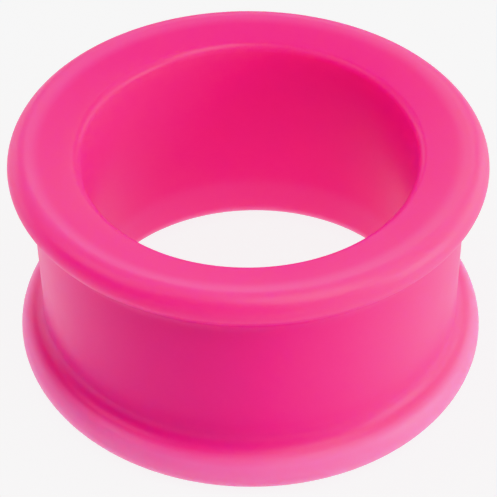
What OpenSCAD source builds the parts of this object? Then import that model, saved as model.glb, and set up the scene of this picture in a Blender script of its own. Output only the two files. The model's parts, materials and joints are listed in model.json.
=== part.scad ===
// Double flared ear tunnel, moulded in one piece of soft silicone.
// It stands on its base flange: the origin is the middle of the ring on the surface, +Z up.

/* [Ear hole] */
// Diameter of the waist, which is the gauge of the stretched ear hole
waist_d = 25; // [18:0.5:50]
// Thickness of the wall between the waist and the bore
wall_t = 2.7; // [2.2:0.1:4]

/* [Length] */
// Length over both flanges
total_h = 14.4; // [12:0.1:20]

/* [Top flange] */
// How far the top flange stands out past the waist
top_overhang = 1.2; // [0.8:0.1:2]
// Radius of the rounded lip round the top flange
top_lip_r = 1.0; // [0.7:0.1:1.2]
// Radius of the hollow curve from the waist to the top lip
top_flare_r = 3.0; // [1:0.1:3]
// Radius of the soft edge where the top face turns into the bore
top_mouth_r = 0.6; // [0.3:0.1:1]

/* [Base flange] */
// How far the base flange stands out past the waist
base_overhang = 1.5; // [0.8:0.1:2]
// Radius of the rounded lip round the base flange
base_lip_r = 1.2; // [0.7:0.1:1.3]
// Radius of the hollow curve from the waist to the base lip
base_flare_r = 2.0; // [1:0.1:3]
// Radius of the soft edge where the base face turns into the bore
base_mouth_r = 1.5; // [0.3:0.1:1.6]

/* [Faces] */
// Angle at which each face sinks from its lip towards the bore
face_slope = 10; // [4:1:16]

/* [Hidden] */
waist_r = waist_d / 2;
bore_r = waist_r - wall_t;
mid_h = total_h / 2;
// How far neighbouring curves of the section overlap, so that they cross and don't only touch
overlap = 0.001;
$fn = 180;

// Drop from the lip's centre to the flare's centre, with their two circles just overlapping
function flare_drop(overhang, lip_r, flare_r) =
    sqrt((flare_r + lip_r - overlap) ^ 2 - (flare_r + lip_r - overlap - overhang) ^ 2);

// Height of the face's line above a radius, for the line that runs over the top of the lip
function face_h(lip, lip_r, r) = lip.y + lip_r / cos(face_slope) - (lip.x - r) * tan(face_slope);

// One half of the wall's section, from the middle of the ring up to its flange:
// the flange, hollowed out by the flare, the waist below it, the rounded lip and the soft mouth
module half_section(overhang, lip_r, flare_r, mouth_r) {
    lip = [waist_r + overhang - lip_r, mid_h - lip_r];
    flare = [waist_r + flare_r - overlap, lip.y - flare_drop(overhang, lip_r, flare_r)];
    mouth_x = bore_r + mouth_r - overlap;
    mouth = [mouth_x, face_h(lip, lip_r, mouth_x) - mouth_r / cos(face_slope)];
    face_normal = [-sin(face_slope), cos(face_slope)];
    difference() {
        polygon([
            [bore_r, 0],
            [waist_r, flare.y],
            flare,
            lip,
            lip + (lip_r - overlap) * face_normal,
            mouth + (mouth_r - overlap) * face_normal,
            mouth,
            [bore_r, mouth.y]
        ]);
        translate(flare) circle(flare_r);
    }
    polygon([[bore_r, 0], [waist_r, 0], [waist_r, lip.y]]);
    translate(lip) circle(lip_r);
    translate(mouth) circle(mouth_r);
}

// The whole section of the wall, with its middle at height zero
module wall_section() {
    half_section(top_overhang, top_lip_r, top_flare_r, top_mouth_r);
    mirror([0, 1]) half_section(base_overhang, base_lip_r, base_flare_r, base_mouth_r);
}

// The ring: its section turned once round the ear hole's axis
module tunnel() {
    color("#EC2A80")
    translate([0, 0, mid_h])
    rotate_extrude() wall_section();
}

tunnel();
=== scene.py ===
"""An ear tunnel of hot pink silicone, standing on its base flange on a pale light table.

The ring is one closed surface: its wall's section, turned once round the bore's axis.
"""

import json
import math

import bpy
import numpy as np
from mathutils import Matrix, Vector


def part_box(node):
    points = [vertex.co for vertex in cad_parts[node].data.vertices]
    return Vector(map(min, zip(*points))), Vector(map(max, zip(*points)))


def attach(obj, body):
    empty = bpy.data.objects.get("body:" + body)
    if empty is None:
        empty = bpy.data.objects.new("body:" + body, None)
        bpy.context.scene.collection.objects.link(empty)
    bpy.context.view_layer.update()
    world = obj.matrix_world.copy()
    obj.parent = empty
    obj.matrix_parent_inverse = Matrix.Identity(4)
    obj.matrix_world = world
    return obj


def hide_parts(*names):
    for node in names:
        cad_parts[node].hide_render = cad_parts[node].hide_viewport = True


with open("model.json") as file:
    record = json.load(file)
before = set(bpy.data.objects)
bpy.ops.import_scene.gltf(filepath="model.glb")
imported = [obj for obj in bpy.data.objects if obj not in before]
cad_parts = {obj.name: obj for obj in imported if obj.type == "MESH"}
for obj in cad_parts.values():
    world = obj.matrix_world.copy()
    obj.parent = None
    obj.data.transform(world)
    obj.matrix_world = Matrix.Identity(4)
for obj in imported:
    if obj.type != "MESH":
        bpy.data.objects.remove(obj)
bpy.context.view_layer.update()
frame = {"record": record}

MM = 0.001
MOUNTS = {mount["name"]: mount for mount in frame["record"]["mounts"]}
low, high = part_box("tunnel")

# Sizes of the ring, which the frame gives
TOTAL_H = high.z - low.z
MID_H = low.z + TOTAL_H / 2
WAIST_R = MOUNTS["lobe_seat"]["dims"]["r_mm"] * MM
BORE_R = MOUNTS["bore"]["dims"]["r_mm"] * MM
BASE_OVERHANG = high.x - WAIST_R

# Sizes of the two flanges' curves
TOP_OVERHANG = 1.2 * MM
TOP_LIP_R = 1.0 * MM
TOP_FLARE_R = 1.6 * MM
TOP_MOUTH_R = 0.6 * MM
BASE_LIP_R = 1.2 * MM
BASE_FLARE_R = 1.0 * MM
BASE_MOUTH_R = 1.3 * MM
FACE_SLOPE = math.radians(10)

# How far the soft ring stands from round: its outside bulges along a diagonal, its bore along X or Y
OUTSIDE_OVAL = {"base": -0.093 * MM, "top": -0.086 * MM}
BORE_OVAL = {"base": 0.20 * MM, "top": -0.175 * MM}
BORE_SHIFT_X = {"base": 0.29 * MM, "top": 0.09 * MM}
BORE_SHIFT_Y = {"base": -0.02 * MM, "top": -0.05 * MM}

# Numbers of points: round the ring, on each arc of the section and on each straight line of it
TURN_STEPS = 288
ARC_STEPS = 28
LINE_STEPS = 14

# The silicone's two pinks: its own, and a paler one, which its faint pigment clouds lean towards
# and which is painted in as light: a painted glow in the crease, at the bore's lower mouth and on
# the base lip, and a painted highlight along the top lip's crest
OWN_PINK = "#DF1C83"
CLOUD_AND_PAINTED_LIGHT_PINK = "#E073AE"

# Where light is painted in as paler pink: a painted glow in the crease over the base lip, at the
# bore's lower mouth and on the base lip, and a painted highlight along the crest of the top lip.
# Each row eases along the radius or the height: its name, which of the two it goes by, where it
# starts and ends, and how much painted light it gives at its start and at its end
PAINTED_LIGHT_EASES = (
    # Painted glow in the crease over the base lip
    ("painted_crease_glow", "height", 4.1 * MM, 2.8 * MM, 0.0, 0.16),
    # Painted glow at the bore's lower mouth
    ("painted_mouth_glow", "height", 2.0 * MM, 0.4 * MM, 0.0, 0.5),
    # Painted glow on the base lip, lighter where the table's light reaches it
    ("base_lip_outwards", "radius", WAIST_R + 0.05 * MM, WAIST_R + 0.7 * MM, 0.0, 1.0),
    ("base_lip_downwards", "height", 2.6 * MM, 1.9 * MM, 0.0, 1.0),
    # Painted highlight along the crest of the top lip
    ("crest_from_face", "radius", WAIST_R - 0.8 * MM, WAIST_R - 0.05 * MM, 0.03, 0.33),
    ("crest_from_rim", "radius", WAIST_R + 1.0 * MM, WAIST_R + 0.1 * MM, 0.5, 1.0),
    ("crest_upwards", "height", 12.5 * MM, 13.5 * MM, 0.0, 1.0),
)

# How those go together into the painted light: the name of each result, the operation, and the two that
# it takes
PAINTED_LIGHT_SUMS = (
    ("painted_base_lip_glow", "MULTIPLY", "base_lip_outwards", "base_lip_downwards"),
    ("crest_line", "MULTIPLY", "crest_from_face", "crest_from_rim"),
    ("painted_crest_highlight", "MULTIPLY", "crest_line", "crest_upwards"),
    ("low_down", "MAXIMUM", "painted_crease_glow", "painted_mouth_glow"),
    ("foot", "MAXIMUM", "low_down", "painted_base_lip_glow"),
    ("everywhere", "MAXIMUM", "foot", "painted_crest_highlight"),
)

# Clouds of pigment: their width, how pale they are and the values that their noise mostly runs
# between, with the roughness that the satin has at those two values
CLOUD_WIDTH = 4 * MM
CLOUD_PALE = 0.06
CLOUD_NOISE = (0.3, 0.7)
CLOUD_ROUGHNESS = (0.36, 0.42)

# The blasted grain. A real one is finer, and this is as coarse as it needs to be to show
GRAIN_WIDTH = 0.16 * MM
GRAIN_DEPTH = 0.003 * MM

# The camera: where it stands from the ring's middle, and how it is turned
CAMERA_ELEVATION = math.radians(41.466)
CAMERA_ROLL = math.radians(-0.85)
CAMERA_DISTANCE = 105.23 * MM
CAMERA_ASIDE = -0.02 * MM
CAMERA_DOWN = 0.772 * MM
CAMERA_SEES_FROM = 1 * MM
SENSOR_MM = 36.0
LENS_MM = 128.34

# Each soft box: its name, the way to it round the ring from the front to the right, its height
# above the horizon in degrees, how far away it stands, its width and height in mm and its power in W
SOFT_BOXES = (
    ("box_right", 72, 16, 95, 56, 44, 0.068),
    ("box_right_rear", 116, 16, 95, 60, 44, 0.034),
    ("box_left_low", 245, 11, 220, 130, 78, 0.08),
    ("box_left_high", 280, 50, 200, 120, 100, 0.142),
    ("box_back_left", 216, 17, 220, 110, 100, 0.093),
    ("box_back", 176, 32, 240, 130, 90, 0.113),
    ("box_overhead_right", 40, 62, 105, 60, 84, 0.107),
)

# The light table and the walls behind it: their glow, the glass's own grey and half the table's width
TABLE_GLOW = 1.24
TABLE_GREY = "#5A5A5A"
TABLE_HALF = 1500 * MM


def arc(centre, radius, start, end, steps=ARC_STEPS):
    """Points on a circle: its centre, plus its radius times the cosine and the sine of an angle.

    The angle runs evenly from start up to just before end, in degrees from the +r direction.
    """
    angle = np.radians(start) + (np.radians(end) - np.radians(start)) * np.arange(steps) / steps
    return np.stack([centre[0] + radius * np.cos(angle), centre[1] + radius * np.sin(angle)], 1)


def line(start, end, steps=LINE_STEPS):
    """Points on a straight line: even shares of its two ends, from start up to just before end."""
    share = np.arange(steps)[:, None] / steps
    return (1 - share) * np.array(start) + share * np.array(end)


def half_section(overhang, lip_r, flare_r, mouth_r):
    """One half of the wall's section, from the waist at the ring's middle to the bore there.

    It runs up the waist, round the hollow flare and the lip, along the face that sinks
    towards the bore at FACE_SLOPE, round the mouth and down the bore. The flare's circle
    touches the waist and the lip's circle, and the mouth's touches the face and the bore,
    so that no corner is left.
    """
    slope = math.degrees(FACE_SLOPE)
    lip = (WAIST_R + overhang - lip_r, TOTAL_H / 2 - lip_r)
    reach = flare_r + lip_r
    drop = math.sqrt(reach ** 2 - (reach - overhang) ** 2)
    flare = (WAIST_R + flare_r, lip[1] - drop)
    turn = math.degrees(math.acos((reach - overhang) / reach))
    mouth_x = BORE_R + mouth_r
    face_h = lip[1] + lip_r / math.cos(FACE_SLOPE) - (lip[0] - mouth_x) * math.tan(FACE_SLOPE)
    mouth = (mouth_x, face_h - mouth_r / math.cos(FACE_SLOPE))
    face_start = arc(lip, lip_r, 90 + slope, 90 + slope, 1)[0]
    face_end = arc(mouth, mouth_r, 90 + slope, 90 + slope, 1)[0]
    return np.concatenate([
        line((WAIST_R, 0), (WAIST_R, flare[1])),
        arc(flare, flare_r, 180, 180 - turn),
        arc(lip, lip_r, -turn, 90 + slope, 2 * ARC_STEPS),
        line(face_start, face_end),
        arc(mouth, mouth_r, 90 + slope, 180),
        line((BORE_R, mouth[1]), (BORE_R, 0)),
    ])


def wall_section():
    """The whole closed section: the top half, then the base half turned upside down and run back."""
    top = half_section(TOP_OVERHANG, TOP_LIP_R, TOP_FLARE_R, TOP_MOUTH_R)
    base = half_section(BASE_OVERHANG, BASE_LIP_R, BASE_FLARE_R, BASE_MOUTH_R)
    bore_middle = np.array([[BORE_R, 0.0]])
    base_back = base[:0:-1] * (1, -1)
    return np.concatenate([top, bore_middle, base_back]) + (0, MID_H)


def between(ends, share):
    """A value that runs evenly from its base end at share 0 to its top end at share 1."""
    return ends["base"] * (1 - share) + ends["top"] * share


def ring_points(section, turn):
    """The ring's surface, for each point of the section and each angle of the turn.

    A point goes round the axis at its own radius, plus OUTSIDE_OVAL times the sine of twice
    the angle on the outside, or BORE_OVAL times the cosine of twice the angle and the bore's
    shift on the inside. Between the two, across the wall, the changes blend evenly.
    """
    radius, height = section[:, 0:1], section[:, 1:2]
    share = (height - low.z) / TOTAL_H
    inside = np.clip((WAIST_R - radius) / (WAIST_R - BORE_R), 0, 1)
    outside_change = between(OUTSIDE_OVAL, share) * np.sin(2 * turn)
    bore_change = between(BORE_OVAL, share) * np.cos(2 * turn)
    around = radius + (1 - inside) * outside_change + inside * bore_change
    x = around * np.cos(turn) + inside * between(BORE_SHIFT_X, share)
    y = around * np.sin(turn) + inside * between(BORE_SHIFT_Y, share)
    return np.stack([x, y, height + 0 * turn], 2)


def closed_mesh(name, points):
    """A mesh over a grid of points that closes on itself both ways.

    Each of its four-sided faces joins a point with the next one round the ring, the next
    one along the section and the one that is next both ways.
    """
    rows, columns = points.shape[:2]
    index = np.arange(rows * columns).reshape(rows, columns)
    along, round_it = np.roll(index, -1, 0), np.roll(index, -1, 1)
    corner = np.roll(along, -1, 1)
    faces = np.stack([index, round_it, corner, along], 2).reshape(-1, 4)
    mesh = bpy.data.meshes.new(name)
    mesh.from_pydata(points.reshape(-1, 3), [], faces)
    mesh.polygons.foreach_set("use_smooth", np.ones(len(faces), bool))
    mesh.update()
    return mesh


def add_object(name, data):
    """A new object in the scene, at the origin."""
    thing = bpy.data.objects.new(name, data)
    bpy.context.scene.collection.objects.link(thing)
    return thing


def linear(hex_colour):
    """An sRGB colour such as "#FF8800" as linear red, green, blue and alpha."""
    values = [int(hex_colour[i:i + 2], 16) / 255 for i in (1, 3, 5)]
    return [v / 12.92 if v <= 0.04045 else ((v + 0.055) / 1.055) ** 2.4 for v in values] + [1.0]


def add_node(tree, kind, inputs=(), **settings):
    """A shader node with its settings, and its inputs given a value each or linked to an output.

    The inputs are a dictionary by name, or a plain row where they all bear the same name.
    """
    made = tree.nodes.new(kind)
    for name, value in settings.items():
        setattr(made, name, value)
    for key, value in inputs.items() if isinstance(inputs, dict) else enumerate(inputs):
        if isinstance(value, bpy.types.NodeSocket):
            tree.links.new(value, made.inputs[key])
        else:
            made.inputs[key].default_value = value
    return made


def new_material(name):
    """An empty node material, with its tree."""
    material = bpy.data.materials.new(name)
    material.use_nodes = True
    material.node_tree.nodes.clear()
    return material, material.node_tree


def painted_light_mask(tree, place):
    """How much light is painted into the silicone at each place, from its distance to the axis and
    its height: a painted glow in the crease over the base lip, at the bore's lower mouth and on the
    base lip, and a painted highlight along the crest of the top lip.

    Each ease is a smooth step between its two ends. The base lip and the crest of the top
    lip are products of theirs, and where they meet the crease or the mouth, the most painted light
    holds.
    """
    split = add_node(tree, "ShaderNodeSeparateXYZ", {"Vector": place}).outputs
    level = add_node(tree, "ShaderNodeCombineXYZ", {"X": split["X"], "Y": split["Y"]}).outputs["Vector"]
    length = add_node(tree, "ShaderNodeVectorMath", {"Vector": level}, operation="LENGTH")
    measures = {"radius": length.outputs["Value"], "height": split["Z"]}
    painted_light = {}
    for name, measure, start, end, at_start, at_end in PAINTED_LIGHT_EASES:
        ease = add_node(tree, "ShaderNodeMapRange", {
            "Value": measures[measure],
            "From Min": start, "From Max": end,
            "To Min": at_start, "To Max": at_end,
        }, interpolation_type="SMOOTHSTEP")
        painted_light[name] = ease.outputs["Result"]
    for name, operation, first, second in PAINTED_LIGHT_SUMS:
        both = add_node(tree, "ShaderNodeMath", (painted_light[first], painted_light[second]), operation=operation)
        painted_light[name] = both.outputs["Value"]
    return painted_light["everywhere"]


def moulded_silicone():
    """Hot pink silicone rubber, cast in a fine-blasted mould: satin, soft and a little translucent."""
    material, tree = new_material("moulded_silicone")
    place = add_node(tree, "ShaderNodeTexCoord").outputs["Object"]

    # The pigment is mixed in by hand, which leaves faint clouds a few millimetres wide
    clouds = add_node(tree, "ShaderNodeTexNoise", {
        "Vector": place, "Scale": 1 / CLOUD_WIDTH, "Detail": 2.0,
    }).outputs["Fac"]
    # Over the clouds goes the painted light: paler pink for a painted glow in the crease, at the lower
    # mouth and on the base lip, and a painted highlight along the top lip's crest
    painted_light = painted_light_mask(tree, place)
    share = add_node(tree, "ShaderNodeMath", (clouds, CLOUD_PALE, painted_light), operation="MULTIPLY_ADD")
    colour = add_node(tree, "ShaderNodeMix", {
        "Factor": share.outputs["Value"], "A": linear(OWN_PINK), "B": linear(CLOUD_AND_PAINTED_LIGHT_PINK),
    }, data_type="RGBA")

    # The blasted mould leaves a fine grain, and the satin is a little uneven from place to place
    grain = add_node(tree, "ShaderNodeTexNoise", {
        "Vector": place, "Scale": 1 / GRAIN_WIDTH, "Detail": 2.0,
    }).outputs["Fac"]
    bump = add_node(tree, "ShaderNodeBump", {"Height": grain, "Distance": GRAIN_DEPTH})
    satin = add_node(tree, "ShaderNodeMapRange", {
        "Value": clouds,
        "From Min": CLOUD_NOISE[0], "From Max": CLOUD_NOISE[1],
        "To Min": CLOUD_ROUGHNESS[0], "To Max": CLOUD_ROUGHNESS[1],
    }, interpolation_type="SMOOTHSTEP")

    # Silicone's own IOR is 1.41, and 1.34 gives the soft gloss of this one. Red light goes about
    # 3 mm through the rubber, and green and blue less than 1 mm
    shader = add_node(tree, "ShaderNodeBsdfPrincipled", {
        "Base Color": colour.outputs["Result"],
        "Roughness": satin.outputs["Result"],
        "Normal": bump.outputs["Normal"],
        "IOR": 1.34,
        "Subsurface Weight": 1.0,
        "Subsurface Radius": (3.0, 0.5, 0.9),
        "Subsurface Scale": MM,
    })
    add_node(tree, "ShaderNodeOutputMaterial", {"Surface": shader.outputs["BSDF"]})
    return material


def opal_light_table():
    """Opal glass of a light table: it glows evenly, so that the ring throws hardly any shadow on it."""
    material, tree = new_material("opal_light_table")
    shader = add_node(tree, "ShaderNodeBsdfPrincipled", {
        "Base Color": linear(TABLE_GREY),
        "Roughness": 0.9,
        "Specular IOR Level": 0.2,
        "Emission Color": linear("#FFFFFF"),
        "Emission Strength": TABLE_GLOW,
    })
    add_node(tree, "ShaderNodeOutputMaterial", {"Surface": shader.outputs["BSDF"]})
    return material


def make_tunnel():
    """The ring, which stands for the plain solid of the same name."""
    turn = 2 * np.pi * np.arange(TURN_STEPS)[None, :] / TURN_STEPS
    ring = add_object("pink_tunnel", closed_mesh("pink_tunnel", ring_points(wall_section(), turn)))
    ring.data.materials.append(moulded_silicone())
    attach(ring, "root")
    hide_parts("tunnel")


def make_floor():
    """The wide pale table that the ring stands on."""
    corners = [(x * TABLE_HALF, y * TABLE_HALF, 0) for x, y in ((-1, -1), (1, -1), (1, 1), (-1, 1))]
    mesh = bpy.data.meshes.new("floor")
    mesh.from_pydata(corners, [], [(0, 1, 2, 3)])
    floor = add_object("floor", mesh)
    floor.data.materials.append(opal_light_table())


def make_camera():
    """The camera at the photograph's angle, above the floor and looking down at the ring's middle."""
    forward = Vector((0, math.cos(CAMERA_ELEVATION), -math.sin(CAMERA_ELEVATION)))
    level_right = Vector((1, 0, 0))
    level_up = Vector((0, math.sin(CAMERA_ELEVATION), math.cos(CAMERA_ELEVATION)))
    right = math.cos(CAMERA_ROLL) * level_right + math.sin(CAMERA_ROLL) * level_up
    up = math.cos(CAMERA_ROLL) * level_up - math.sin(CAMERA_ROLL) * level_right
    place = Vector((0, 0, MID_H)) - CAMERA_DISTANCE * forward + CAMERA_ASIDE * right - CAMERA_DOWN * up
    data = bpy.data.cameras.new("camera")
    data.sensor_width = SENSOR_MM
    data.lens = LENS_MM
    data.clip_start = CAMERA_SEES_FROM
    camera = add_object("camera", data)
    turned = Matrix((right, up, -forward)).transposed()
    camera.matrix_world = Matrix.Translation(place) @ turned.to_4x4()
    bpy.context.scene.camera = camera


def make_soft_boxes():
    """Soft boxes round the ring, each turned to its middle. They and the table are all the light."""
    middle = Vector((0, 0, MID_H))
    for name, around, up, away, width, height, power in SOFT_BOXES:
        turn, rise = math.radians(around), math.radians(up)
        aside, back = math.sin(turn) * math.cos(rise), -math.cos(turn) * math.cos(rise)
        outward = Vector((aside, back, math.sin(rise)))
        data = bpy.data.lights.new(name, "AREA")
        data.shape = "RECTANGLE"
        data.size = width * MM
        data.size_y = height * MM
        data.energy = power
        box = add_object(name, data)
        turned = outward.to_track_quat("Z", "Y").to_matrix()
        box.matrix_world = Matrix.Translation(middle + outward * away * MM) @ turned.to_4x4()


def make_walls():
    """The studio's pale walls, which only the camera sees: they light nothing and show in no gloss."""
    world = bpy.data.worlds.new("studio_walls")
    bpy.context.scene.world = world
    world.use_nodes = True
    walls = world.node_tree.nodes["Background"]
    walls.inputs["Color"].default_value = linear("#FFFFFF")
    walls.inputs["Strength"].default_value = TABLE_GLOW
    shows_in = world.cycles_visibility
    shows_in.diffuse = shows_in.glossy = shows_in.transmission = shows_in.scatter = False


make_tunnel()
make_floor()
make_camera()
make_soft_boxes()
make_walls()
bpy.context.scene.view_settings.view_transform = "Khronos PBR Neutral"
